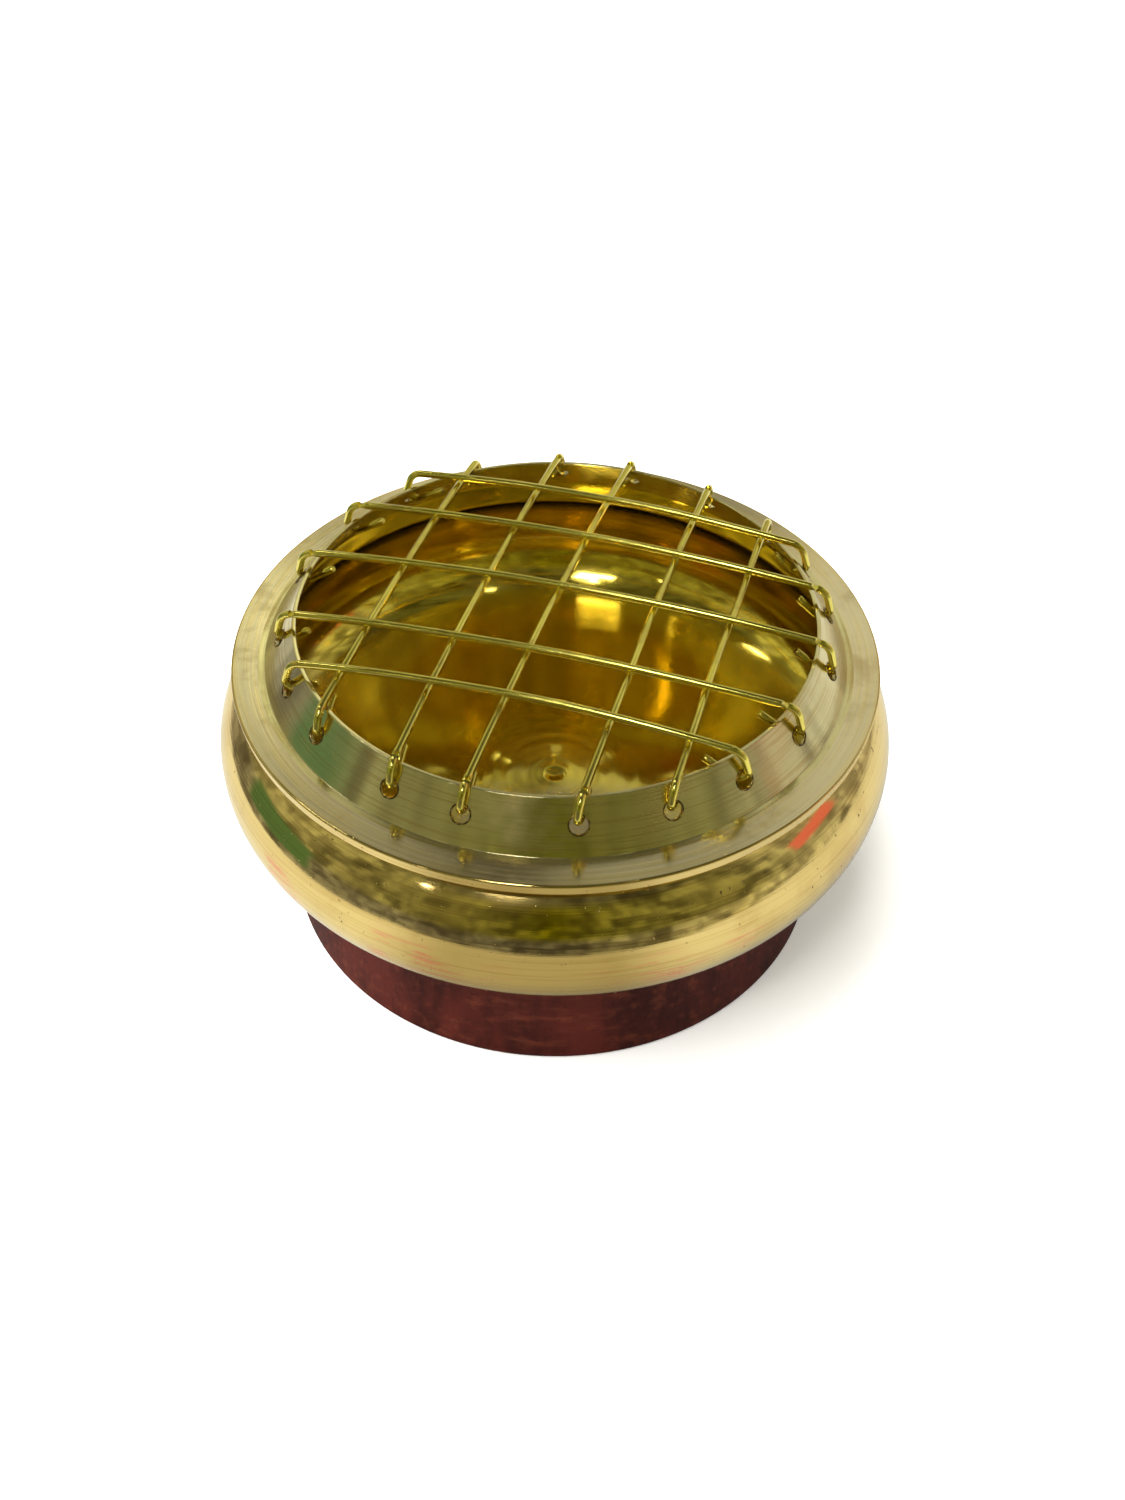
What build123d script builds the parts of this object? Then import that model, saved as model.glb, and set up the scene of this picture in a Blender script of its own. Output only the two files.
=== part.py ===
"""Brass charcoal burner with a wire screen, standing on a turned wooden coaster.

Millimetres, +Z up. The origin is the centre of the coaster's underside. The bowl is one turned
casting: a deep belly, a flat ring round the mouth, and a thin collar that leans in above the ring.
Ten brass wires cross the mouth. Each one comes out of a drilled hole, goes up over the collar's
edge, bows across, and goes down and in through the hole on the far side.
"""
import os
from math import cos, radians, sin, sqrt

from build123d import *

# Heights above the table that the coaster stands on
ring_height = 44.6
belly_height = 30.3
floor_height = 17.4
coaster_top = 16.6
seat_height = 14.2

# Bowl: the ring, its rounded lip, and the collar that leans in above it
ring_radius = 47.5
ring_edge_round = 0.35
lip_radius = 46.3
lip_drop = 2.5
collar_base_radius = 42.6
collar_top_radius = 38.05
collar_rise = 6.46
collar_wall = 0.72

# Bowl: the belly's section is part of an ellipse, and its hollow is the same ellipse drawn in
belly_centre_radius = 35.1
belly_reach = 15.7
belly_drop = 13.4
belly_wall = 1.9
shoulder_angle = 54
under_angle = -88
neck_angle = 50
hollow_angle = -62
foot_radius = 31.0
foot_width = 9.0
foot_relief = 0.8
dimple_radius = 1.3
dimple_depth = 0.4

# Coaster
coaster_radius = 42.3
coaster_top_radius = 41.4
coaster_top_round = 1.5
coaster_base_round = 0.8
seat_clearance = 1.0

# Holes: azimuths in degrees from +X, stepped off by hand about 18 degrees apart
hole_radius = 1.25
hole_drop = 2.99
front_holes = (-143, -122, -107, -85, -67)
back_holes = (110, 90, 73, 53, 35)
left_holes = (-158, -174, 165, 145, 127)
right_holes = (-51, -34, -13, 5, 21)

# Wires: both layers bow over one dome, the upper layer a wire's thickness above the lower
wire_radius = 0.56
wire_gap = 0.04
dome_edge_radius = 38.0
dome_edge_lift = 0.66
dome_rise = 2.12
upper_extra_bow = (0.7, 0.0, 0.0, 0.0, 0.4)
leg_radius = 39.3
wall_gap = 0.06
rim_gap = 0.16
edge_bend = 2.4
hole_bend = 0.85

# Wire ends inside the collar, one for each hole of a side: degrees above level, and length
stubs = ((31, 5.2), (32, 5.4), (34, 5.0), (38, 4.3), (36, 4.1))

# Worked out from the sizes above
collar_top = ring_height + collar_rise
collar_slant = sqrt((collar_base_radius - collar_top_radius) ** 2 + collar_rise**2)
slant_out = (collar_base_radius - collar_top_radius) / collar_slant
slant_down = collar_rise / collar_slant
hole_slant = hole_drop / slant_down
wire_slant = hole_slant - (hole_radius - wire_radius - rim_gap)
collar_thickness = collar_wall * slant_down
dome_radius = (dome_edge_radius**2 + dome_rise**2) / (2 * dome_rise)
dome_apex = collar_top + dome_edge_lift + dome_rise


def collar_point(down, out):
    """Radius and height of a point so far down the collar's slant, and so far off its outer face."""
    radius = collar_top_radius + slant_out * down + slant_down * out
    height = collar_top - slant_down * down + slant_out * out
    return radius, height


def belly_point(angle, inset=0.0):
    """Radius and height on the belly's ellipse, or on the hollow's, at an angle from level."""
    turn = radians(angle)
    radius = belly_centre_radius + (belly_reach - inset) * cos(turn)
    return radius, belly_height + (belly_drop - inset) * sin(turn)


def belly_heading(angle, inset=0.0):
    """Direction along the same ellipse at that angle, going up and round."""
    turn = radians(angle)
    return -(belly_reach - inset) * sin(turn), (belly_drop - inset) * cos(turn)


def belly_curve(start, end, inset=0.0):
    """Stretch of the belly's ellipse from one angle to another, as an edge of the open sketch line."""
    return EllipticalCenterArc(
        (belly_centre_radius, belly_height),
        belly_reach - inset,
        belly_drop - inset,
        start_angle=start,
        arc_size=end - start,
    )


def outer_line():
    """The bowl's outside, from the collar's edge down to the foot and in to the centre."""
    lip_top = (ring_radius - ring_edge_round, ring_height)
    lip_bulge = (ring_radius, ring_height - lip_drop / 3)
    lip_foot = (lip_radius, ring_height - lip_drop)
    under = belly_point(under_angle)
    relief_radius = foot_radius - foot_width
    Polyline((collar_top_radius, collar_top), (collar_base_radius, ring_height), lip_top)
    ThreePointArc(lip_top, lip_bulge, lip_foot)
    Line(lip_foot, belly_point(shoulder_angle))
    belly_curve(shoulder_angle, under_angle)
    Polyline(
        under,
        (foot_radius, under[1]),
        (foot_radius, seat_height),
        (relief_radius, seat_height),
        (relief_radius - foot_relief, seat_height + foot_relief),
        (0, seat_height + foot_relief),
        (0, floor_height - dimple_depth),
    )


def inner_line():
    """The bowl's inside, from the centre's dimple up the hollow to the collar's edge."""
    rim = (dimple_radius, floor_height)
    throat = (collar_base_radius - collar_wall, ring_height)
    Line((0, floor_height - dimple_depth), rim)
    Spline(
        rim,
        belly_point(hollow_angle, belly_wall),
        tangents=((1, 0), belly_heading(hollow_angle, belly_wall)),
    )
    belly_curve(hollow_angle, neck_angle, belly_wall)
    Spline(
        belly_point(neck_angle, belly_wall),
        throat,
        tangents=(belly_heading(neck_angle, belly_wall), (-slant_out, slant_down)),
    )
    Polyline(throat, (collar_top_radius - collar_wall, collar_top), (collar_top_radius, collar_top))


def drill(azimuth):
    """Cylinder that opens one hole square to the collar's wall."""
    radius, height = collar_point(hole_slant, 0)
    turn = radians(azimuth)
    axis = Vector(slant_down * cos(turn), slant_down * sin(turn), slant_out)
    centre = Vector(radius * cos(turn), radius * sin(turn), height)
    return Plane(origin=centre, z_dir=axis) * Cylinder(hole_radius, 4 * collar_thickness)


def bowl():
    """The turned brass bowl with its ring, its collar and the twenty drilled holes."""
    with BuildPart() as turned:
        with BuildSketch(Plane.XZ):
            with BuildLine():
                outer_line()
                inner_line()
            make_face()
        revolve(axis=Axis.Z)
    body = turned.part
    for azimuth in front_holes + back_holes + left_holes + right_holes:
        body -= drill(azimuth)
    return body


def wire(start, end, layer, start_stub, end_stub, extra_bow=0.0):
    """One wire of the screen, from the hole at one azimuth to the hole at another."""
    mid_wall = collar_point(wire_slant, -collar_thickness / 2)[0]
    near, far = (Vector(mid_wall * cos(radians(a)), mid_wall * sin(radians(a)), 0) for a in (start, end))
    middle = (near + far) / 2
    along = (far - near).normalized()
    offset = middle.length
    lift = layer * (2 * wire_radius + wire_gap)
    radius = dome_radius + lift

    def reach(from_axis):
        """How far along the chord, from its middle, a point at this distance from the axis lies."""
        return sqrt(from_axis**2 - offset**2)

    # The bow is one arc: it passes the dome's edge and the dome's top over this chord
    edge = reach(dome_edge_radius)
    dome_centre = dome_apex - dome_radius
    edge_height = dome_centre + sqrt(radius**2 - dome_edge_radius**2)
    top = dome_centre + sqrt(radius**2 - offset**2) + extra_bow
    rise = top - edge_height
    bow_radius = (edge**2 + rise**2) / (2 * rise)
    bow_slope = edge / sqrt(bow_radius**2 - edge**2)
    leg = reach(leg_radius)
    corner_height = edge_height - (leg - edge) * bow_slope
    peak_height = edge_height + edge * bow_slope

    clear = wire_radius + wall_gap
    outside = collar_point(wire_slant, clear)
    inside = collar_point(wire_slant, -collar_thickness - clear)

    def end_points(stub):
        """Tip, both bends at the hole and the bend over the edge, as distances and heights."""
        turn = radians(stub[0])
        foot = (reach(inside[0]), inside[1])
        tip = (foot[0] - stub[1] * cos(turn), foot[1] + stub[1] * sin(turn))
        return [tip, foot, (reach(outside[0]), outside[1]), (leg, corner_height)]

    first = [middle - along * w + Vector(0, 0, h) for w, h in end_points(start_stub)]
    last = [middle + along * w + Vector(0, 0, h) for w, h in end_points(end_stub)]
    bends = [hole_bend, hole_bend, edge_bend]
    path = FilletPolyline(
        *first,
        middle + Vector(0, 0, peak_height),
        *reversed(last),
        radius=[*bends, bow_radius, *reversed(bends)],
    )
    return sweep(Plane(origin=path @ 0, z_dir=path % 0) * Circle(wire_radius), path=path)


def screen():
    """The ten wires by name: five run front to back, and five lie across on top of them."""
    wires = {}
    for i, (near, far) in enumerate(zip(front_holes, back_holes)):
        wires[f"lower_wire_{i + 1}"] = wire(near, far, 0, stubs[i], stubs[-1 - i])
    for i, (left, right) in enumerate(zip(left_holes, right_holes)):
        wires[f"upper_wire_{i + 1}"] = wire(left, right, 1, stubs[-1 - i], stubs[i], upper_extra_bow[i])
    return wires


def wooden_coaster():
    """The turned wooden coaster, with a shallow seat for the bowl's foot."""
    with BuildPart() as turned:
        with BuildSketch(Plane.XZ):
            with BuildLine():
                Polyline(
                    (0, 0),
                    (coaster_radius, 0),
                    (coaster_top_radius, coaster_top),
                    (foot_radius + seat_clearance, coaster_top),
                    (foot_radius + seat_clearance, seat_height),
                    (0, seat_height),
                    close=True,
                )
            make_face()
        revolve(axis=Axis.Z)
        rims = turned.edges().filter_by(GeomType.CIRCLE).sort_by(SortBy.RADIUS)
        fillet(rims[-1], coaster_base_round)
        fillet(rims[-2], coaster_top_round)
    return turned.part


os.makedirs("parts", exist_ok=True)
nodes = {"bowl": bowl(), **screen(), "wooden_coaster": wooden_coaster()}
for name, solid in nodes.items():
    export_step(solid, f"parts/{name}.step")
    print(name, round(solid.volume, 1), "mm3")
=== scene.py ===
import math
import random

import bmesh
import bpy
from mathutils import Matrix, Vector, geometry, noise


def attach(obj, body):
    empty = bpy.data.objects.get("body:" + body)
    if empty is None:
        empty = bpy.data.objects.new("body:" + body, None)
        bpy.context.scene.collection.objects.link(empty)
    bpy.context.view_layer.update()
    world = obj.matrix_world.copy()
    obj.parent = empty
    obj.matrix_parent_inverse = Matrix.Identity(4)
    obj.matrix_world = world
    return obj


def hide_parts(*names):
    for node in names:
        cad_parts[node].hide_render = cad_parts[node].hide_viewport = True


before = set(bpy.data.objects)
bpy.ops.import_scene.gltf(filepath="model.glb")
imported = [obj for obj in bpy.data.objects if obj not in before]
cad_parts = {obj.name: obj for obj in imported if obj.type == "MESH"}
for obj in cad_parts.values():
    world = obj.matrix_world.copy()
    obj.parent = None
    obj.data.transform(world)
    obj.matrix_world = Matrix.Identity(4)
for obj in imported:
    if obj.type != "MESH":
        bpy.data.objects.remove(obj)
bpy.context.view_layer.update()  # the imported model: every piece below sits where its CAD node is
mm = 0.001
random.seed(7)
print("frame loaded:", len(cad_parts), "nodes")


class Signal:
    # a socket's value inside a material: arithmetic on it adds Math nodes
    def __init__(self, finish, socket):
        self.finish = finish
        self.socket = socket

    def math(self, operation, *others):
        inputs = dict(enumerate((self, *others)))
        return self.finish.add("ShaderNodeMath", {"operation": operation}, inputs)

    def __add__(self, other):
        return self.math("ADD", other)

    def __sub__(self, other):
        return self.math("SUBTRACT", other)

    def __rsub__(self, other):
        return self.finish.add("ShaderNodeMath", {"operation": "SUBTRACT"}, {0: other, 1: self})

    def __mul__(self, other):
        return self.math("MULTIPLY", other)

    def __truediv__(self, other):
        return self.math("DIVIDE", other)

    __radd__ = __add__
    __rmul__ = __mul__

    def step(self, low, high):
        # 0 below low, 1 above high, and a soft ramp between
        values = {"Value": self, "From Min": low, "From Max": high}
        return self.finish.add("ShaderNodeMapRange", {"interpolation_type": "SMOOTHSTEP"}, values)


class Finish:
    # one material, or the world: its node tree and the shader at its end
    def __init__(self, name, tree=None):
        if tree is None:
            self.material = bpy.data.materials.new(name)
            self.material.use_nodes = True
            tree = self.material.node_tree
            self.shader = tree.nodes["Principled BSDF"]
        self.tree = tree
        self.place = self.add("ShaderNodeTexCoord", {}, {}, "Object")

    def link(self, socket, value):
        if isinstance(value, Signal):
            self.tree.links.new(value.socket, socket)
        elif socket.type == "RGBA":
            socket.default_value = (*value, 1)
        else:
            socket.default_value = value

    def add(self, kind, settings, values, output=0):
        node = self.tree.nodes.new(kind)
        for key, setting in settings.items():
            if key == "stops":
                elements = node.color_ramp.elements
                while len(elements) < len(setting):
                    elements.new(1)
                for element, (place, colour) in zip(elements, setting):
                    element.position = place
                    element.color = (*colour, 1)
            else:
                setattr(node, key, setting)
        for key, value in values.items():
            self.link(node.inputs[key], value)
        return Signal(self, node.outputs[output])

    def noise(self, place, scale, detail=2.0, rough=0.5):
        values = {"Vector": place, "Scale": scale, "Detail": detail, "Roughness": rough}
        return self.add("ShaderNodeTexNoise", {}, values)

    def mix(self, factor, first, second, blend="MIX"):
        settings = {"data_type": "RGBA", "blend_type": blend}
        return self.add("ShaderNodeMix", settings, {0: factor, 6: first, 7: second}, 2)

    def split(self, place):
        return [self.add("ShaderNodeSeparateXYZ", {}, {0: place}, axis) for axis in range(3)]

    def join(self, x, y, z):
        return self.add("ShaderNodeCombineXYZ", {}, {0: x, 1: y, 2: z})

    def bump(self, height, depth):
        # depth is the real height, in metres, of a height of 1
        return self.add("ShaderNodeBump", {}, {"Height": height, "Distance": depth})

    def surface(self, **values):
        for name, value in values.items():
            self.link(self.shader.inputs[socketNames[name]], value)
        return self.material


socketNames = {
    "colour": "Base Color",
    "rough": "Roughness",
    "metal": "Metallic",
    "normal": "Normal",
    "coat": "Coat Weight",
    "coatRough": "Coat Roughness",
    "streak": "Anisotropic",
    "turn": "Anisotropic Rotation",
    "gloss": "Specular IOR Level",
    "glow": "Emission Color",
    "glowPower": "Emission Strength",
}


def rounded(points, radii, turnStep=12.0, lengthStep=900.0):
    # a line through the points with each inner corner rounded, all in millimetres
    line = [points[0]]
    for i, radius in enumerate(radii, 1):
        before = (points[i - 1] - points[i]).normalized()
        after = (points[i + 1] - points[i]).normalized()
        half = before.angle(after) / 2
        centre = points[i] + (before + after).normalized() * radius / math.sin(half)
        start = points[i] + before * radius / math.tan(half) - centre
        end = points[i] + after * radius / math.tan(half) - centre
        turn = start.angle(end)
        steps = math.ceil(max(2, math.degrees(turn) / turnStep, turn * radius / lengthStep))
        for k in range(steps + 1):
            line.append(centre + start.slerp(end, k / steps).normalized() * radius)
    return line + [points[-1]]


def held(line, inset=0.12):
    # extra points just inside the corners of a straight run, so that its shading stays flat
    out = [line[0]]
    for a, b in zip(line, line[1:]):
        if (b - a).length > 4 * inset:
            out += [a + (b - a).normalized() * inset, b - (b - a).normalized() * inset]
        out.append(b)
    return out


def turned(bm, line, steps, material):
    # spins one stretch of outline through an eighth of a turn; closed() makes the rest
    old = set(bm.faces)
    points = [bm.verts.new(p * mm) for p in line]
    edges = [bm.edges.new(pair) for pair in zip(points, points[1:])]
    about = {"cent": (0, 0, 0), "axis": (0, 0, 1), "dvec": (0, 0, 0)}
    bmesh.ops.spin(bm, geom=points + edges, angle=math.pi / 4, steps=steps // 8, **about)
    for face in set(bm.faces) - old:
        face.material_index = material
        face.smooth = True


def closed(bm, gap=0.002):
    # three doublings complete the turn, then seams and poles close and faces point outwards
    for angle in (45, 90, 180):
        copy = bmesh.ops.duplicate(bm, geom=[*bm.verts, *bm.edges, *bm.faces])["geom"]
        verts = [v for v in copy if isinstance(v, bmesh.types.BMVert)]
        bmesh.ops.rotate(bm, verts=verts, cent=(0, 0, 0), matrix=Matrix.Rotation(math.radians(angle), 3, "Z"))
    bmesh.ops.remove_doubles(bm, verts=bm.verts, dist=gap * mm)
    bmesh.ops.recalc_face_normals(bm, faces=bm.faces)


def newPiece(name, bm):
    mesh = bpy.data.meshes.new(name)
    bm.to_mesh(mesh)
    bm.free()
    piece = bpy.data.objects.new(name, mesh)
    bpy.context.scene.collection.objects.link(piece)
    return piece


def finishPiece(piece, materials, body, node):
    for material in materials:
        piece.data.materials.append(material)
    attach(piece, body)
    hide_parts(node)


def at(radius, height):
    return Vector((radius, 0, height))


bowlSizes = {
    "steps": 304,
    "ringHeight": 44.6,
    "ringRadius": 47.5,
    "ringRound": 0.35,
    "lipRadius": 46.3,
    "lipDrop": 2.5,
    "collarBase": 42.6,
    "collarTop": 38.05,
    "collarRise": 6.46,
    "collarWall": 0.72,
    "bellyCentre": (35.1, 30.3),
    "bellyReach": (15.7, 13.4),
    "bellyWall": 1.9,
    "shoulder": 54,
    "under": -88,
    "neck": 50,
    "hollow": -62,
    "floor": 17.4,
    "foot": (22.0, 31.0),
    "seat": 14.2,
    "relief": 0.8,
    "dimple": (1.3, 0.4),
    "floorRings": (3.1, 5.4, 8.6, 12.5),
}
holeSizes = {
    "radius": 1.25,
    "drop": 2.99,
    "chamfer": 0.08,
    "burr": 0.10,
    "sides": 48,
    "front": (-143, -122, -107, -85, -67),
    "back": (110, 90, 73, 53, 35),
    "left": (-158, -174, 165, 145, 127),
    "right": (-51, -34, -13, 5, 21),
}
collarSlant = math.hypot(bowlSizes["collarBase"] - bowlSizes["collarTop"], bowlSizes["collarRise"])
slantOut = (bowlSizes["collarBase"] - bowlSizes["collarTop"]) / collarSlant
slantDown = bowlSizes["collarRise"] / collarSlant
collarThick = bowlSizes["collarWall"] * slantDown
collarEdge = bowlSizes["ringHeight"] + bowlSizes["collarRise"]


def onCollar(down, out):
    # so far down the collar's slant from its edge, and so far off its outer face
    radius = bowlSizes["collarTop"] + slantOut * down + slantDown * out
    return at(radius, collarEdge - slantDown * down + slantOut * out)


def onBelly(angle, inset=0.0):
    turn = math.radians(angle)
    (radius, height), (reach, drop) = bowlSizes["bellyCentre"], bowlSizes["bellyReach"]
    return at(radius + (reach - inset) * math.cos(turn), height + (drop - inset) * math.sin(turn))


def bellyRun(start, end, inset=0.0, step=2.0):
    count = math.ceil(abs(end - start) / step)
    return [onBelly(start + (end - start) * k / count, inset) for k in range(count + 1)]


def bellyHeading(angle, inset=0.0):
    return (onBelly(angle + 0.1, inset) - onBelly(angle - 0.1, inset)).normalized()


def eased(start, startWay, end, endWay, count=12):
    # a smooth curve that leaves start and meets end in the given directions
    third = (end - start).length / 3
    return geometry.interpolate_bezier(start, start + startWay * third, end - endWay * third, end, count)


def bowlOutline():
    # stretches of the outline with their material: 0 belly, 1 ring, 2 collar, 3 inside, 4 foot
    b = bowlSizes
    ringTop = b["ringHeight"]
    lipTop = at(b["ringRadius"] - b["ringRound"], ringTop)
    lipFoot = at(b["lipRadius"], ringTop - b["lipDrop"])
    under = onBelly(b["under"])
    footIn, footOut = b["foot"]
    ground = b["seat"]
    throat = at(b["collarBase"] - b["collarWall"], ringTop)
    edgeOut = at(b["collarTop"], collarEdge)
    edgeIn = edgeOut - at(b["collarWall"], 0)
    bellyTop = onBelly(b["neck"], b["bellyWall"])
    hollowEnd = onBelly(b["hollow"], b["bellyWall"])
    dimpleRadius, dimpleDepth = b["dimple"]
    rim = at(dimpleRadius, b["floor"])

    footLine = [
        under,
        at(footOut, under.z),
        at(footOut, ground),
        at(footIn, ground),
        at(footIn - b["relief"], ground + b["relief"]),
        at(0, ground + b["relief"]),
    ]
    collarLine = [at(b["collarBase"] + 1, ringTop), at(b["collarBase"], ringTop), edgeOut, edgeIn, throat]
    collar = held(rounded(collarLine, (0.12, 0.14, 0.14)))
    ring = held([collar[0], lipTop])
    lip = rounded([lipTop, at(b["ringRadius"], ringTop), lipFoot + at(1.05, 0.55), lipFoot], (0.3, 1.1), 7)
    floor = eased(hollowEnd, -bellyHeading(b["hollow"], b["bellyWall"]), rim, at(-1, 0), 56)
    for radius in b["floorRings"]:
        for point in floor:
            point.z -= 0.05 * math.exp(-((point.x - radius) / 0.45) ** 2)
    return (
        (collar, 2),
        (ring, 1),
        (lip, 0),
        (held([lipFoot, onBelly(b["shoulder"])]), 0),
        (bellyRun(b["shoulder"], b["under"]), 0),
        (held(rounded(footLine, (0.6, 0.4, 0.4, 0.3))), 4),
        (eased(throat, at(slantOut, -slantDown), bellyTop, -bellyHeading(b["neck"], b["bellyWall"])), 3),
        (bellyRun(b["neck"], b["hollow"], b["bellyWall"]), 3),
        (floor, 3),
        ([rim, at(0.5, b["floor"] - dimpleDepth * 0.8), at(0, b["floor"] - dimpleDepth)], 3),
    )


def drillSet():
    # one cutter for each hole: a drill with a cone behind it that breaks the edges of both faces
    bm = bmesh.new()
    h = holeSizes
    face = collarThick / 2
    flare = h["radius"] + h["chamfer"] + 0.4
    half = [at(h["radius"], 0), at(h["radius"], face - h["chamfer"]), at(flare, face + 0.4), at(flare, 2), at(0, 2)]
    line = [at(p.x, -p.z) for p in reversed(half)] + half[1:]
    turned(bm, line, h["sides"], 2)
    closed(bm)
    return onHoles(bm, "drills")


def onHoles(pattern, name):
    # the same small shape at every hole, its Z axis square to the collar's wall
    bm = bmesh.new()
    h = holeSizes
    centre = onCollar(h["drop"] / slantDown, -collarThick / 2)
    aim = Vector((slantDown, 0, slantOut)).to_track_quat("Z", "Y").to_matrix().to_4x4()
    for azimuth in h["front"] + h["back"] + h["left"] + h["right"]:
        spot = Matrix.Rotation(math.radians(azimuth), 4, "Z") @ Matrix.Translation(centre * mm) @ aim
        mesh = bpy.data.meshes.new(name)
        pattern.to_mesh(mesh)
        mesh.transform(spot)
        bm.from_mesh(mesh)
        bpy.data.meshes.remove(mesh)
    pattern.free()
    return newPiece(name, bm)


def buildBurrs(material):
    # the thin raised edge that the drill threw up round the outside of each hole
    h = holeSizes
    bm = bmesh.new()
    thick, face = h["burr"], collarThick / 2
    middle = h["radius"] + h["chamfer"] + thick * 0.4
    turns = [math.radians(45 * k) for k in range(9)]
    turned(bm, [at(middle + thick * math.cos(t), face + thick * math.sin(t)) for t in turns], h["sides"], 0)
    closed(bm)
    finishPiece(onHoles(bm, "holeBurrs"), [material], "burner", "bowl")


def buildBowl(materials):
    bm = bmesh.new()
    for line, material in bowlOutline():
        turned(bm, line, bowlSizes["steps"], material)
    closed(bm)
    bowl = newPiece("bowlTurned", bm)
    drills = drillSet()
    for material in materials:
        bowl.data.materials.append(material)
        drills.data.materials.append(material)
    cut = bowl.modifiers.new("holes", "BOOLEAN")
    cut.operation = "DIFFERENCE"
    cut.solver = "MANIFOLD"
    cut.object = drills
    bpy.context.view_layer.update()
    mesh = bpy.data.meshes.new_from_object(bowl.evaluated_get(bpy.context.evaluated_depsgraph_get()))
    bowl.modifiers.clear()
    bowl.data = mesh
    bpy.data.objects.remove(drills)
    mesh.set_sharp_from_angle(angle=math.radians(32))
    finishPiece(bowl, [], "burner", "bowl")


screenSizes = {
    "wireRadius": 0.56,
    "layerGap": 0.04,
    "edgeRadius": 38.0,
    "edgeLift": 0.66,
    "rise": 2.12,
    "extraBow": (0.7, 0.0, 0.0, 0.0, 0.4),
    "legRadius": 39.3,
    "wallGap": 0.06,
    "rimGap": 0.16,
    "edgeBend": 2.4,
    "holeBend": 0.85,
    "stubs": ((31, 5.2), (32, 5.4), (34, 5.0), (38, 4.3), (36, 4.1)),
    "sides": 16,
    "wander": 0.16,
}


def wireRoute(start, end, layer, startStub, endStub, extraBow):
    # the wire's centre line: stub, hole, over the edge, the bow, and the same down the far side
    s = screenSizes
    slant = holeSizes["drop"] / slantDown - (holeSizes["radius"] - s["wireRadius"] - s["rimGap"])
    wallRadius = onCollar(slant, -collarThick / 2).x
    near, far = (Matrix.Rotation(math.radians(a), 3, "Z") @ at(wallRadius, 0) for a in (start, end))
    middle = (near + far) / 2
    along = (far - near).normalized()
    dome = (s["edgeRadius"] ** 2 + s["rise"] ** 2) / (2 * s["rise"])
    domeCentre = collarEdge + s["edgeLift"] + s["rise"] - dome
    radius = dome + layer * (2 * s["wireRadius"] + s["layerGap"])

    def reach(fromAxis):
        return math.sqrt(fromAxis**2 - middle.length**2)

    edge = reach(s["edgeRadius"])
    edgeHeight = domeCentre + math.sqrt(radius**2 - s["edgeRadius"] ** 2)
    rise = domeCentre + math.sqrt(radius**2 - middle.length**2) + extraBow - edgeHeight
    bowRadius = (edge**2 + rise**2) / (2 * rise)
    slope = edge / math.sqrt(bowRadius**2 - edge**2)
    leg = reach(s["legRadius"])
    clear = s["wireRadius"] + s["wallGap"]
    outside = onCollar(slant, clear)
    inside = onCollar(slant, -collarThick - clear)

    def half(stub, way):
        turn = math.radians(stub[0])
        foot = reach(inside.x)
        places = (
            (foot - stub[1] * math.cos(turn), inside.z + stub[1] * math.sin(turn)),
            (foot, inside.z),
            (reach(outside.x), outside.z),
            (leg, edgeHeight - (leg - edge) * slope),
        )
        return [middle + along * way * distance + Vector((0, 0, height)) for distance, height in places]

    peak = middle + Vector((0, 0, edgeHeight + edge * slope))
    points = [*half(startStub, -1), peak, *reversed(half(endStub, 1))]
    bends = (s["holeBend"], s["holeBend"], s["edgeBend"])
    return rounded(points, (*bends, bowRadius, *reversed(bends)), 9, 0.8), middle, along


def buildWire(name, ends, layer, stubs, extraBow, material):
    # a drawn wire with slightly nipped ends, a touch off straight across its bow
    s = screenSizes
    route, middle, along = wireRoute(*ends, layer, *stubs, extraBow)
    aside = along.cross(Vector((0, 0, 1)))
    seed = random.uniform(0, 90)
    curve = bpy.data.curves.new(name, "CURVE")
    curve.dimensions = "3D"
    curve.bevel_depth = s["wireRadius"] * mm
    curve.bevel_resolution = s["sides"] // 2 - 2
    curve.use_fill_caps = True
    nip = 0.12
    first, last = (route[1] - route[0]).normalized() * nip, (route[-2] - route[-1]).normalized() * nip
    route = [route[0], route[0] + first, *route[1:-1], route[-1] + last, route[-1]]
    spline = curve.splines.new("POLY")
    spline.points.add(len(route) - 1)
    for i, (point, place) in enumerate(zip(spline.points, route)):
        inBow = max(0, 1 - ((place - middle).dot(along) / s["edgeRadius"]) ** 2)
        drift = noise.noise(Vector((place.dot(along) / 17, seed, layer))) * s["wander"] * inBow
        point.co = (*((place + aside * drift) * mm), 1)
        point.radius = 0.8 if i in (0, len(route) - 1) else 1
    shape = bpy.data.objects.new(name, curve)
    bpy.context.scene.collection.objects.link(shape)
    bpy.context.view_layer.update()
    mesh = bpy.data.meshes.new_from_object(shape)
    bpy.data.objects.remove(shape)
    mesh.set_sharp_from_angle(angle=math.radians(50))
    node = name
    piece = bpy.data.objects.new(node + "_drawn", mesh)
    bpy.context.scene.collection.objects.link(piece)
    mesh.materials.clear()
    finishPiece(piece, [material], "burner", node)


def buildScreen(lowerMaterial, upperMaterial):
    h, stubs = holeSizes, screenSizes["stubs"]
    for i in range(5):
        pair = (stubs[i], stubs[-1 - i])
        buildWire(f"lower_wire_{i + 1}", (h["front"][i], h["back"][i]), 0, pair, 0, lowerMaterial)
    for i in range(5):
        pair = (stubs[-1 - i], stubs[i])
        bow = screenSizes["extraBow"][i]
        buildWire(f"upper_wire_{i + 1}", (h["left"][i], h["right"][i]), 1, pair, bow, upperMaterial)


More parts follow.
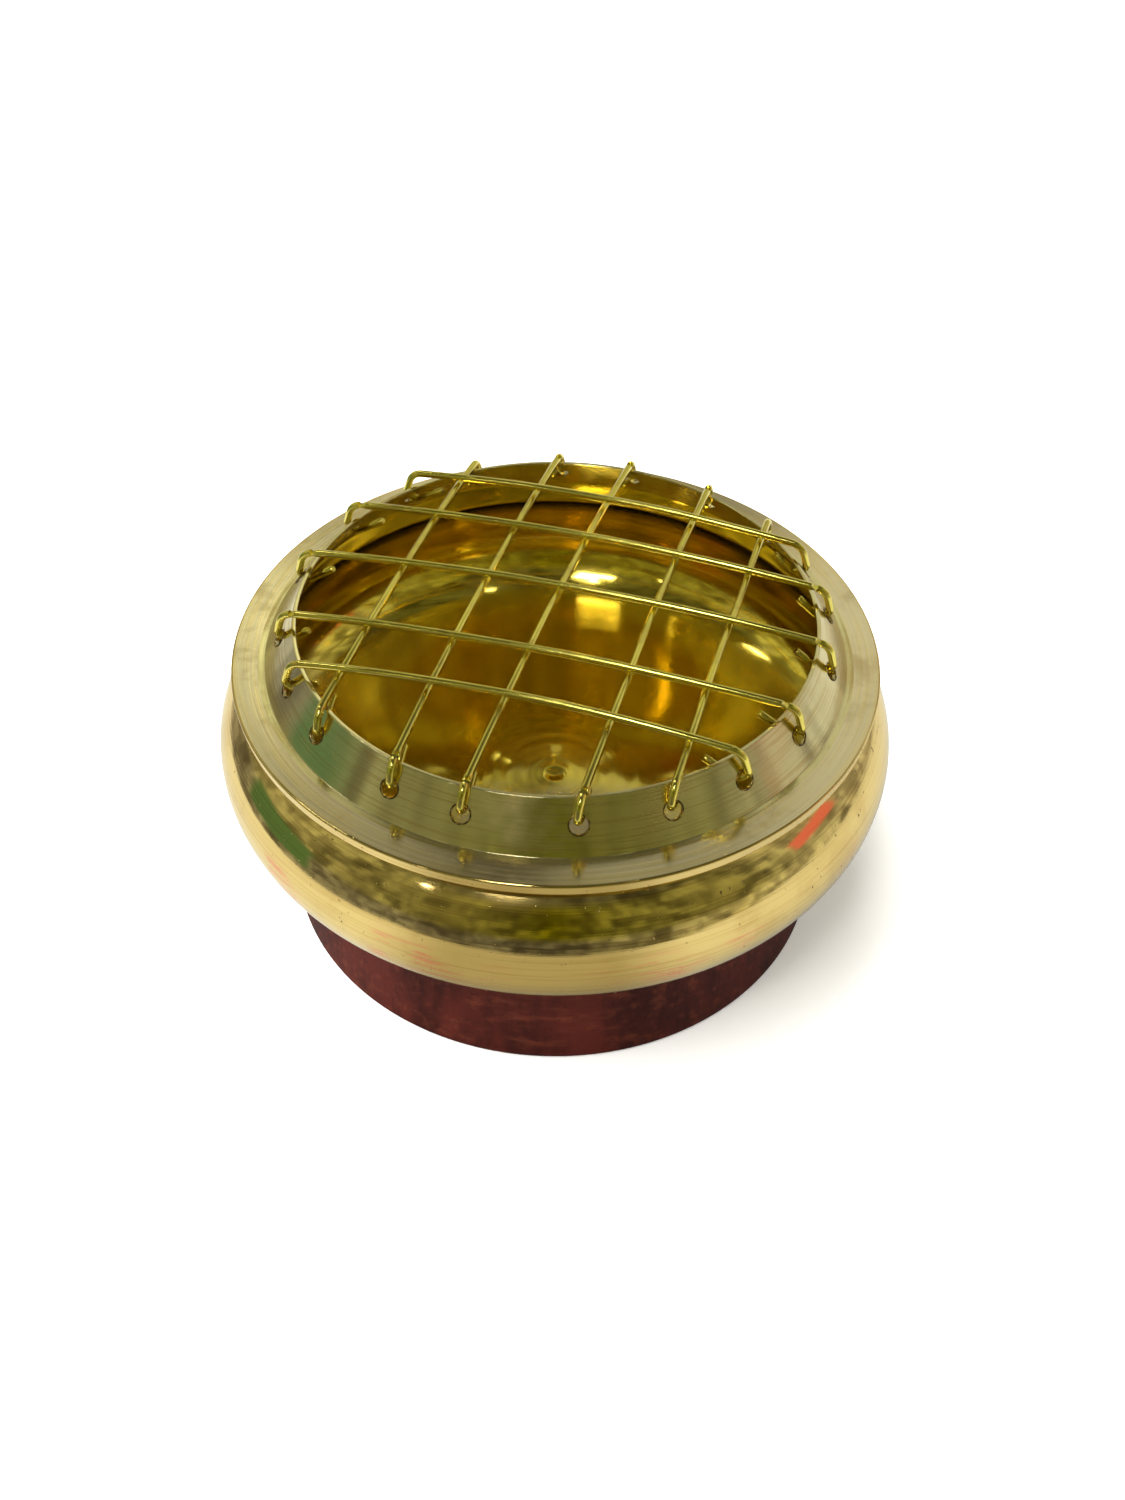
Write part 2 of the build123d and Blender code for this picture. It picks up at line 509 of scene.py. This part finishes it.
coasterSizes = {
    "steps": 256,
    "radius": 42.3,
    "topRadius": 41.4,
    "top": 16.6,
    "topRound": 1.5,
    "baseRound": 0.8,
    "seat": (32.0, 14.2),
    "seatRound": 0.5,
    "underRings": (14.0, 27.0),
}


def buildCoaster(material):
    c = coasterSizes
    seatRadius, seatHeight = c["seat"]
    grooves = []
    for radius in c["underRings"]:  # shallow grooves left by the turner on the underside
        grooves += [at(radius - 0.5, 0), at(radius, 0.35), at(radius + 0.5, 0)]
    bm = bmesh.new()
    turned(bm, held([at(0, 0), *grooves, at(c["radius"] - 3, 0)]), c["steps"], 0)
    side = [at(c["radius"] - 3, 0), at(c["radius"], 0), at(c["topRadius"], c["top"])]
    top = [at(seatRadius, c["top"]), at(seatRadius, seatHeight), at(0, seatHeight)]
    radii = (c["baseRound"], c["topRound"], c["seatRound"], c["seatRound"])
    turned(bm, held(rounded(side + top, radii, 8)), c["steps"], 0)
    closed(bm)
    coaster = newPiece("coasterTurned", bm)
    coaster.data.set_sharp_from_angle(angle=math.radians(32))
    finishPiece(coaster, [material], "coaster", "wooden_coaster")


def aroundAxis(finish, fine, lengthwise):
    # coordinates for marks cut on a lathe: fine across the profile, slowly changing round the axis
    x, y, z = finish.split(finish.place)
    radius = (x * x + y * y).math("SQRT")
    return finish.join(x / radius * lengthwise, y / radius * lengthwise, (radius - z * 1.618) * fine)


def latheMarks(finish, fine, lengthwise=1.5, detail=3.0):
    return finish.noise(aroundAxis(finish, fine, lengthwise), 1.0, detail, 0.5)


brassFacts = {
    "belly": (0.86, 0.66, 0.25),
    "bellyTarnish": (0.60, 0.41, 0.13),
    "ring": (0.80, 0.69, 0.47),
    "collar": (0.82, 0.73, 0.40),
    "inside": (0.90, 0.71, 0.09),
    # the colour of the painted pale reflection on the front of the inside floor
    "paintedReflection": (0.92, 0.84, 0.70),
    "wire": (0.92, 0.80, 0.17),
    "grime": (0.10, 0.07, 0.03),
    # the colour of the pink smears on the belly's front, either side of the middle
    "pinkSmear": (0.93, 0.36, 0.20),
    # highlights stretch across the lathe marks, which is a quarter turn from the way they run
    "across": 0.25,
}


def bellyBrass():
    # buffed on the lathe: hairlines round it, faint cloudy tarnish, pin holes, and pink smears on the front either
    # side of the middle, in a band round the widest part
    f = Finish("bellyBrass")
    hair = latheMarks(f, 1500.0, 1.2, 3.0)
    cloud = f.noise(f.place, 90.0, 4.0, 0.6)
    pits = f.noise(f.place, 1500.0, 1.0).step(0.72, 0.78)
    x, y, z = f.split(f.place)
    low = z.step(0.024, 0.028) * (1 - z.step(0.031, 0.034))
    smear = f.noise(aroundAxis(f, 900.0, 7.0), 1.0, 4.0, 0.6).step(0.48, 0.60)
    sides = x.math("ABSOLUTE").step(0.002, 0.018) * (1 - y.step(-0.034, -0.020))
    # pink smears along the lathe marks, only in a band round the belly's widest part and only on the front, either
    # side of the middle; they are also rougher
    pinkSmear = smear * low * sides * f.noise(f.place, 60.0, 2.0).step(0.44, 0.54)
    tarnish = cloud.step(0.48, 0.68) * 0.40 + hair.step(0.50, 0.66) * 0.55
    colour = f.mix(tarnish, brassFacts["belly"], brassFacts["bellyTarnish"])
    colour = f.mix(pinkSmear * 0.75, colour, brassFacts["pinkSmear"])
    colour = f.mix(pits * cloud.step(0.4, 0.6), colour, brassFacts["grime"])
    height = hair - pits * 1.5
    rough = 0.05 + hair * 0.07 + cloud.step(0.45, 0.75) * 0.05 + pits * 0.3 + pinkSmear * 0.2
    values = {"streak": 0.5, "turn": brassFacts["across"], "normal": f.bump(height, 0.000008)}
    return f.surface(colour=colour, metal=1.0, rough=rough, **values)


def ringBrass():
    # faced with a fine cut and left satin: concentric marks, paler and pinker than the belly
    f = Finish("ringBrass")
    cut = latheMarks(f, 2200.0, 1.0, 3.0)
    wide = latheMarks(f, 1300.0, 3.0, 2.0)
    cloud = f.noise(f.place, 130.0, 4.0, 0.65)
    colour = f.mix(wide.step(0.35, 0.7) * 0.4, brassFacts["ring"], brassFacts["belly"])
    colour = f.mix(cloud.step(0.52, 0.75) * 0.35, colour, brassFacts["bellyTarnish"])
    rough = 0.07 + cut * 0.14 + cloud.step(0.45, 0.7) * 0.08
    values = {"streak": 0.5, "turn": brassFacts["across"], "normal": f.bump(cut + wide * 0.6, 0.000006)}
    return f.surface(colour=colour, metal=1.0, rough=rough, **values)


def collarBrass():
    # turned bright but not buffed: tool lines round it and short rubbing marks across them
    f = Finish("collarBrass")
    cut = latheMarks(f, 1900.0, 2.5, 3.0)
    x, y, z = f.split(f.place)
    angle = y.math("ARCTAN2", x)
    across = f.noise(f.join(angle * 90.0, z * 160.0, 0.0), 1.0, 4.0, 0.75)
    patches = f.noise(f.join(x * 130.0, y * 130.0, z * 110.0), 1.0, 3.0)
    rub = across * patches.step(0.42, 0.62)
    colour = f.mix(patches.step(0.5, 0.75) * 0.5, brassFacts["collar"], brassFacts["belly"])
    colour = f.mix(cut.step(0.50, 0.66) * 0.45, colour, brassFacts["bellyTarnish"])
    rough = 0.10 + cut * 0.13 + patches.step(0.4, 0.7) * 0.10
    values = {"streak": 0.75, "turn": brassFacts["across"], "normal": f.bump(cut + rub * 0.8, 0.000009)}
    return f.surface(colour=colour, metal=1.0, rough=rough, **values)


def burrBrass():
    # left rough and dark by the drill
    f = Finish("burrBrass")
    colour = f.mix(f.noise(f.place, 1500.0, 2.0).step(0.4, 0.7), brassFacts["grime"], brassFacts["bellyTarnish"])
    return f.surface(colour=colour, metal=1.0, rough=0.32)


def insideBrass():
    # lacquered deep gold inside, with hairlines round it and cloudy patches; on the front of its floor a painted
    # pale reflection, where the brass is also rougher
    f = Finish("insideBrass")
    hair = latheMarks(f, 1400.0, 1.4, 3.0)
    cloud = f.noise(f.place, 60.0, 4.0, 0.6)
    x, y, z = f.split(f.place)
    # painted pale reflection: an oval patch with a ragged edge on the front of the inside floor, mixed towards pale
    # cream; the same patch makes the brass rougher
    paintedReflection = f.join((x - 0.002) / 0.018, (y + 0.011) / 0.008, 0.0)
    paintedReflection = f.add("ShaderNodeVectorMath", {"operation": "LENGTH"}, {0: paintedReflection}, "Value")
    paintedReflection = 1 - (paintedReflection + f.noise(f.place, 120.0, 4.0, 0.6) * 1.2).step(0.9, 2.0)
    colour = f.mix(cloud.step(0.45, 0.7) * 0.35, brassFacts["inside"], brassFacts["belly"])
    colour = f.mix(paintedReflection * 0.85, colour, brassFacts["paintedReflection"])
    rough = 0.05 + hair * 0.08 + cloud.step(0.4, 0.7) * 0.05 + paintedReflection * 0.35
    values = {"streak": 0.75, "turn": brassFacts["across"], "normal": f.bump(hair, 0.000006)}
    values |= {"coat": 0.6, "coatRough": 0.06}
    return f.surface(colour=colour, metal=1.0, rough=rough, **values)


def footBrass():
    # the foot and underside: coarser cut, duller
    f = Finish("footBrass")
    cut = latheMarks(f, 3000.0, 1.0, 4.0)
    cloud = f.noise(f.place, 80.0, 4.0)
    colour = f.mix(cloud.step(0.4, 0.7) * 0.6, brassFacts["belly"], brassFacts["bellyTarnish"])
    values = {"streak": 0.5, "turn": brassFacts["across"], "normal": f.bump(cut, 0.000008)}
    return f.surface(colour=colour, metal=1.0, rough=0.3 + cut * 0.2, **values)


def wireBrass(name):
    # drawn wire: fine streaks along it, browner where it has been handled
    f = Finish(name)
    along = f.add("ShaderNodeTexCoord", {}, {}, "UV")
    streaks = f.noise(f.add("ShaderNodeMapping", {}, {"Vector": along, "Scale": (9, 26, 1)}), 1.0, 3.0, 0.6)
    cloud = f.noise(f.place, 220.0, 3.0, 0.6)
    colour = f.mix(cloud.step(0.45, 0.75) * 0.45, brassFacts["wire"], brassFacts["bellyTarnish"])
    rough = 0.07 + streaks * 0.10 + cloud * 0.05
    return f.surface(colour=colour, metal=1.0, rough=rough, normal=f.bump(streaks, 0.000006))


woodFacts = {
    "stain": (0.076, 0.012, 0.008),
    "dark": (0.032, 0.006, 0.005),
    "warm": (0.150, 0.034, 0.015),
    "coat": 0.02,
    "gloss": 0.05,
}


def stainedWood():
    # close-grained wood, stained dark red and rubbed with lacquer
    f = Finish("stainedWood")
    x, y, z = f.split(f.place)
    grain = f.noise(f.join(x * 90.0, y * 900.0, z * 420.0), 1.0, 5.0, 0.6)
    mottle = f.noise(f.join(x * 90.0, y * 90.0, z * 22.0), 1.0, 5.0, 0.7)
    pores = f.noise(f.join(x * 600.0, y * 2600.0, z * 1500.0), 1.0, 2.0).step(0.62, 0.72)
    colour = f.mix(mottle.step(0.36, 0.62), woodFacts["dark"], woodFacts["stain"])
    colour = f.mix(grain.step(0.48, 0.72) * 0.45, colour, woodFacts["warm"])
    colour = f.mix(pores * 0.55, colour, woodFacts["dark"])
    rough = 0.42 + grain * 0.14 + mottle * 0.10
    height = grain * 0.5 - pores
    values = {"coat": woodFacts["coat"], "coatRough": 0.2, "gloss": woodFacts["gloss"]}
    return f.surface(colour=colour, metal=0.0, rough=rough, normal=f.bump(height, 0.00002), **values)


room = {
    # degrees round from the viewer's side, with the room's colour low down and at eye height
    "round": (
        (-180, (0.6, 0.6, 0.6), (0.4, 0.4, 0.3)),
        (-90, (0.2, 0.2, 0.2), (0.3, 0.3, 0.2)),
        (0, (0.1, 0.1, 0.1), (0.1, 0.1, 0.0)),
        (60, (0.4, 0.4, 0.3), (0.2, 0.2, 0.1)),
        (120, (0.6, 0.6, 0.6), (0.5, 0.5, 0.5)),
        (180, (0.6, 0.6, 0.6), (0.4, 0.4, 0.3)),
    ),
    "ceiling": (0.08, 0.08, 0.055),
    # how many goods to a turn and to a height, with their darkest and lightest shades
    "goods": (
        (8.0, 8.0, (0.45, 0.42, 0.36), (1.65, 1.65, 1.6)),
        (26.0, 7.0, (0.65, 0.62, 0.60), (1.45, 1.45, 1.40)),
    ),
    # degrees round, degrees up, width, height, colour
    "cards": (
        (-90, 0, 30, 20, (0.1, 0.2, 0.1)),
        (90, 20, 20, 10, (0.8, 0.2, 0.2)),
        (-170, 40, 10, 5, (1.5, 1.5, 1.0)),
    ),
}


def paintWorld():
    # what the brass mirrors: a room with goods on shelves, a ceiling and a pale wall behind;
    # the camera itself sees plain white
    world = bpy.data.worlds.new("studio")
    bpy.context.scene.world = world
    world.use_nodes = True
    f = Finish("studio", world.node_tree)
    x, y, z = f.split(f.add("ShaderNodeTexCoord", {}, {}, "Generated"))
    about = x.math("ARCTAN2", 0 - y)
    lift = z.math("ARCSINE")
    place = about / math.tau + 0.5
    bands = []
    for band in (1, 2):
        stops = [(stop[0] / 360 + 0.5, stop[band]) for stop in room["round"]]
        bands.append(f.add("ShaderNodeValToRGB", {"stops": stops}, {0: place}))
    colour = f.mix(z.step(0.03, 0.20), *bands)
    colour = f.mix(z.step(0.66, 0.80), colour, room["ceiling"])
    for turns, rows, dark, light in room["goods"]:
        spot = {"Vector": f.join(about * turns, z * rows, 0.0), "Scale": 1.0, "Randomness": 0.9}
        cell = f.add("ShaderNodeTexVoronoi", {"distance": "CHEBYCHEV"}, spot, "Color")
        colour = f.mix(1.0, colour, f.mix(f.split(cell)[0], dark, light), "MULTIPLY")
    for turn, up, width, height, tint in room["cards"]:
        acrossCard = ((about - math.radians(turn)).math("ABSOLUTE") / math.radians(width / 2)).step(0.85, 1.1)
        upCard = ((lift - math.radians(up)).math("ABSOLUTE") / math.radians(height / 2)).step(0.85, 1.1)
        colour = f.mix((1 - acrossCard) * (1 - upCard), colour, tint)
    seen = f.add("ShaderNodeLightPath", {}, {}, "Is Camera Ray")
    background = f.tree.nodes["Background"]
    f.link(background.inputs["Color"], f.mix(seen, colour, (1.0, 1.0, 1.0)))


studio = {
    "floorRadius": 1.0,
    # the pale table as the brass mirrors it: left, front, right and back edges
    "table": (-0.16, -0.19, 0.60, 0.40),
    "lampDistance": 1.3,
    # azimuth, elevation, width, height, radiance, tint
    "lamps": (
        (-114, 58, 0.09, 0.12, 20.0, (1.0, 0.98, 0.92)),
        (-105, 60, 0.13, 0.18, 22.0, (1.0, 0.98, 0.92)),
        (-111, 67, 0.05, 0.06, 18.0, (1.0, 0.98, 0.92)),
        (171, 83, 0.08, 0.12, 6.0, (1.0, 0.98, 0.92)),
        (157, 56, 0.06, 0.24, 12.0, (1.0, 0.98, 0.93)),
        (-38, 73, 0.035, 0.035, 14.0, (1.0, 1.0, 0.95)),
        (-134, 43, 0.05, 0.05, 12.0, (1.0, 0.95, 0.85)),
    ),
    "softPlace": (-0.8, 0.0, 1.35),
    "softSize": 2.2,
    "softPower": 85.0,
    "lens": 37.27,
    "cameraPlace": (0.0012, -0.17577, 0.19275),
    "cameraDown": 44.05,
    "cameraRoll": 1.167,
}


def addLight(name, place, width, height, power, tint=(1, 1, 1)):
    light = bpy.data.lights.new(name, "AREA")
    light.shape = "RECTANGLE"
    light.size, light.size_y = width, height
    light.energy = power
    light.color = tint
    lamp = bpy.data.objects.new(name, light)
    lamp.location = place
    lamp.rotation_euler = (Vector((0, 0, 0.04)) - place).to_track_quat("-Z", "Y").to_euler()
    bpy.context.scene.collection.objects.link(lamp)
    return lamp


def tablePaper():
    # pale, and dimmer in front, where whoever stands at the table shades it
    f = Finish("tablePaper")
    x, y, z = f.split(f.place)
    aside = ((x.math("ARCTAN2", 0 - y) + 0.08).math("ABSOLUTE") / math.radians(34)).step(0.5, 1.25)
    return f.surface(colour=f.mix(aside, (0.21, 0.195, 0.15), (0.42, 0.42, 0.40)), rough=0.8)


def buildStudio():
    left, front, right, back = studio["table"]
    pale = Finish("paleFloor")
    floorFinish = pale.surface(colour=(0.90, 0.90, 0.90), glow=(1.0, 1.0, 1.0), glowPower=0.3, rough=0.6)
    for name, material, mirrored in (("floor", floorFinish, False), ("tableTop", tablePaper(), True)):
        bm = bmesh.new()
        if mirrored:
            bmesh.ops.create_grid(bm, x_segments=1, y_segments=1, size=0.5)
            bmesh.ops.scale(bm, verts=bm.verts, vec=(right - left, back - front, 1))
            bmesh.ops.translate(bm, verts=bm.verts, vec=((left + right) / 2, (front + back) / 2, 0))
        else:
            bmesh.ops.create_circle(bm, cap_ends=True, segments=96, radius=studio["floorRadius"])
        piece = newPiece(name, bm)
        piece.data.materials.append(material)
        piece.visible_glossy = mirrored
        piece.visible_camera = piece.visible_diffuse = not mirrored
        piece.visible_shadow = False
    for number, (azimuth, elevation, width, height, radiance, tint) in enumerate(studio["lamps"]):
        spin, lift = math.radians(azimuth), math.radians(elevation)
        way = Vector((math.cos(spin) * math.cos(lift), math.sin(spin) * math.cos(lift), math.sin(lift)))
        power = radiance * math.pi * width * height
        addLight(f"lamp{number + 1}", way * studio["lampDistance"], width, height, power, tint)
    size = studio["softSize"]
    soft = addLight("softBox", Vector(studio["softPlace"]), size, size, studio["softPower"])
    soft.visible_glossy = False  # lights the floor and the wood without filling the brass


def placeCamera():
    camera = bpy.data.objects.new("camera", bpy.data.cameras.new("camera"))
    camera.data.lens = studio["lens"]
    camera.data.clip_start = 0.01
    aim = Matrix.Rotation(math.radians(90 - studio["cameraDown"]), 4, "X")
    roll = Matrix.Rotation(math.radians(studio["cameraRoll"]), 4, "Z")
    camera.matrix_world = Matrix.Translation(studio["cameraPlace"]) @ aim @ roll
    bpy.context.scene.collection.objects.link(camera)
    bpy.context.scene.camera = camera


buildBowl([bellyBrass(), ringBrass(), collarBrass(), insideBrass(), footBrass()])
buildBurrs(burrBrass())
print("bowl turned and drilled")
drawn = wireBrass("wireBrass")
buildScreen(drawn, drawn)
print("screen wires bent")
buildCoaster(stainedWood())
print("coaster turned")
paintWorld()
buildStudio()
placeCamera()
bpy.context.scene.view_settings.view_transform = "Standard"
print("studio set")
